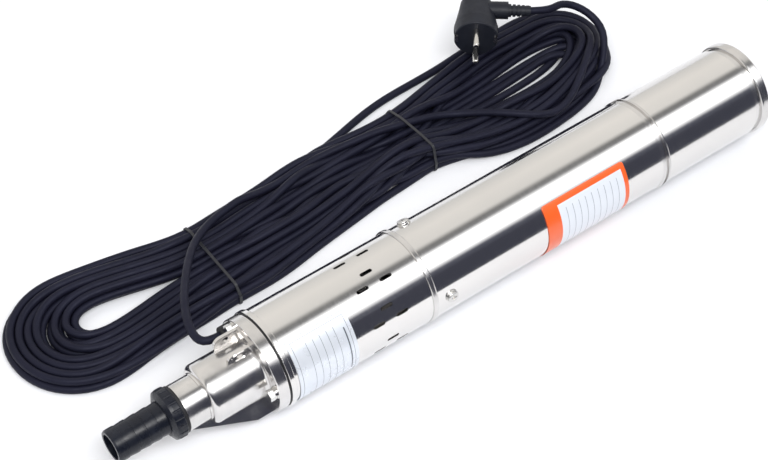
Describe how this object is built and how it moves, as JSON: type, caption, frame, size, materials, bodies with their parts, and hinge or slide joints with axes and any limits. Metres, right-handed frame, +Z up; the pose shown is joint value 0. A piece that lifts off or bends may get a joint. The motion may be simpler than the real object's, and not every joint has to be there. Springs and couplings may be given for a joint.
{
  "type": "submersible well pump",
  "caption": "Slim submersible screw pump in polished tubes, with a barbed hose tail, a rope ear and its supply lead tied in a hank with a plug.",
  "frame": {"origin": "on the floor, under the middle of the pump's length and under its own axis; the cord is not counted", "axes": "+X along the pump from the hose tail to the bottom cap, +Z up as the pump lies, +Y towards the side where its lead lies in a hank"},
  "size_m": [0.6138, 0.247, 0.079],
  "materials": {
    "polished_steel": "polished stainless tube with soft streaks along its length",
    "plated_casting": "bright plated casting, a little uneven",
    "plain_steel": "turned",
    "fastener_steel": "bright",
    "bearing_steel": "ground",
    "core_steel": "stacked sheet edges",
    "cast_aluminium": "as cast",
    "winding_copper": "enamelled copper wire",
    "cage_brass": "pressed",
    "seal_ceramic": "lapped ceramic",
    "black_plastic": "moulded, semi-gloss",
    "black_rubber": "matt",
    "cable_sheath": "matt, bluish black",
    "plug_rubber": "matt moulded",
    "pin_nickel": "nickel plated",
    "tie_wire": "thin plastic-covered wire",
    "capacitor_plastic": "moulded"
  },
  "bodies": {
    "pump_body": {"hose_tail": "black_plastic", "hose_washer": "black_rubber", "discharge_head": "plated_casting", "head_gasket": "black_rubber", "through_bolts": "fastener_steel", "bolt_washers": "fastener_steel", "cable_gland": "black_rubber", "inner_cable": "cable_sheath", "casing_collar": "polished_steel", "casing_tube": "polished_steel", "pump_sleeve": "plain_steel", "rubber_lining": "black_rubber", "seal_bracket": "plated_casting", "seal_seat": "seal_ceramic", "upper_outer_race": "bearing_steel", "lower_outer_race": "bearing_steel", "stator_core": "core_steel", "stator_winding": "winding_copper", "motor_tube": "polished_steel", "side_screws": "fastener_steel", "side_washers": "fastener_steel", "lower_bracket": "plated_casting", "tail_tube": "polished_steel", "capacitor": "capacitor_plastic", "upper_cushion": "black_rubber", "lower_cushion": "black_rubber", "bottom_cap": "plated_casting", "casing_seal_ring": "black_rubber", "motor_seal_ring": "black_rubber", "lower_seal_ring": "black_rubber", "tail_seal_ring": "black_rubber", "cap_seal_ring": "black_rubber", "cable_lead": "cable_sheath", "cable_hank": "cable_sheath", "plug_lead": "cable_sheath", "hank_ties": "tie_wire", "plug_body": "plug_rubber", "plug_pins": "pin_nickel", "earth_clips": "pin_nickel", "strain_relief": "plug_rubber"},
    "motor_rotor": {"motor_shaft": "plain_steel", "rotor_core": "core_steel", "upper_end_ring": "cast_aluminium", "lower_end_ring": "cast_aluminium", "drive_hub": "plain_steel", "set_screw": "fastener_steel", "seal_head": "plain_steel", "upper_inner_race": "bearing_steel", "lower_inner_race": "bearing_steel"},
    "flexible_drive": {"drive_core": "plain_steel"},
    "pump_screw": {"screw_rotor": "polished_steel"},
    "upper_ball_set": {"upper_balls": "bearing_steel", "upper_cage": "cage_brass"},
    "lower_ball_set": {"lower_balls": "bearing_steel", "lower_cage": "cage_brass"}
  },
  "joints": [
    {"name": "motor_spin", "type": "hinge", "parent": "pump_body", "child": "motor_rotor", "pos_m": [0.06, 0, 0.0395], "axis": [1, 0, 0], "continuous": true},
    {"name": "drive_orbit", "type": "hinge", "parent": "pump_body", "child": "flexible_drive", "pos_m": [-0.085, 0, 0.0395], "axis": [1, 0, 0], "continuous": true},
    {"name": "screw_spin", "type": "hinge", "parent": "flexible_drive", "child": "pump_screw", "pos_m": [-0.148, 0.003, 0.0395], "axis": [1, 0, 0], "continuous": true},
    {"name": "upper_cage_spin", "type": "hinge", "parent": "pump_body", "child": "upper_ball_set", "pos_m": [-0.021, 0, 0.0395], "axis": [1, 0, 0], "continuous": true},
    {"name": "lower_cage_spin", "type": "hinge", "parent": "pump_body", "child": "lower_ball_set", "pos_m": [0.173, 0, 0.0395], "axis": [1, 0, 0], "continuous": true}
  ],
  "couplings": [
    {"joint": "drive_orbit", "follows": "motor_spin", "ratio": -1},
    {"joint": "screw_spin", "follows": "motor_spin", "ratio": 2},
    {"joint": "upper_cage_spin", "follows": "motor_spin", "ratio": 0.36818},
    {"joint": "lower_cage_spin", "follows": "motor_spin", "ratio": 0.36818}
  ]
}
